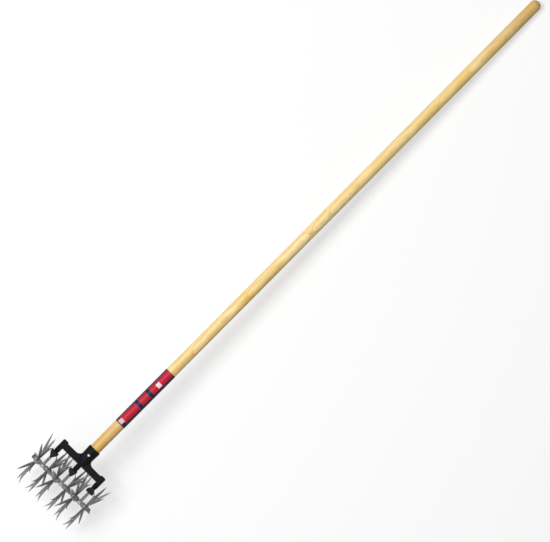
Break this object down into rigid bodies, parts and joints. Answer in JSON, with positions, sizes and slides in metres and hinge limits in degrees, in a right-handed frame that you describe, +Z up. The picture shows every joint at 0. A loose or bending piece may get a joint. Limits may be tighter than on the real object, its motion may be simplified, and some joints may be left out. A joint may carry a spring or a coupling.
{
  "type": "rolling cultivator",
  "caption": "Long-handled rolling cultivator: a round ash pole in a black cast yoke whose legs carry a turning reel of spiked star wheels, clamped by triangular knobs.",
  "frame": {"origin": "middle of the bounding box on the floor, the tool lying on its back on its star points and the pole's far end", "axes": "+X along the tool towards the pole's far end, +Y towards the left end of the axle, +Z up, the side the clamp knobs and the handle screw face"},
  "size_m": [1.7659, 0.2076, 0.1523],
  "materials": {
    "ash": "sanded ash with a clear matt lacquer",
    "label_print": "smooth printed sleeve, red with dark blue borders and pale blank panels",
    "black_casting": "black powder coat over a slightly rough casting",
    "knob_plastic": "matt black moulding",
    "bright_steel": "bright zinc plate",
    "dull_steel": "dull zinc plate",
    "dark_steel": "blackened steel",
    "star_casting": "grey galvanised casting"
  },
  "bodies": {
    "frame": {"handle": "ash", "handle_label": "label_print", "handle_screw": "bright_steel", "yoke": "black_casting", "hanger_left": "bright_steel", "hanger_middle": "bright_steel", "hanger_right": "bright_steel"},
    "reel": {"axle": "bright_steel", "star_1": "star_casting", "star_2": "star_casting", "star_3": "star_casting", "star_4": "star_casting", "star_5": "star_casting", "star_6": "star_casting", "washer_1": "bright_steel", "washer_2": "bright_steel", "washer_3": "bright_steel", "washer_4": "bright_steel", "washer_5": "bright_steel", "washer_6": "bright_steel", "spacer_left": "dull_steel", "spacer_right": "dull_steel", "end_nut_left": "dark_steel", "end_nut_right": "dark_steel"},
    "knob_left": {"clamp_knob_left": "knob_plastic"},
    "knob_middle": {"clamp_knob_middle": "knob_plastic"},
    "knob_right": {"clamp_knob_right": "knob_plastic"}
  },
  "joints": [
    {"name": "reel_spin", "type": "hinge", "parent": "frame", "child": "reel", "pos_m": [-0.80843, 0, 0.07616], "axis": [0, -1, 0], "continuous": true},
    {"name": "knob_left_turn", "type": "hinge", "parent": "frame", "child": "knob_left", "pos_m": [-0.75732, 0.0655, 0.10463], "axis": [-0.4866, 0, 0.8736], "range_deg": [0, 720]},
    {"name": "knob_middle_turn", "type": "hinge", "parent": "frame", "child": "knob_middle", "pos_m": [-0.75732, 0, 0.10463], "axis": [-0.4866, 0, 0.8736], "range_deg": [0, 720]},
    {"name": "knob_right_turn", "type": "hinge", "parent": "frame", "child": "knob_right", "pos_m": [-0.75732, -0.0655, 0.10463], "axis": [-0.4866, 0, 0.8736], "range_deg": [0, 720]}
  ]
}
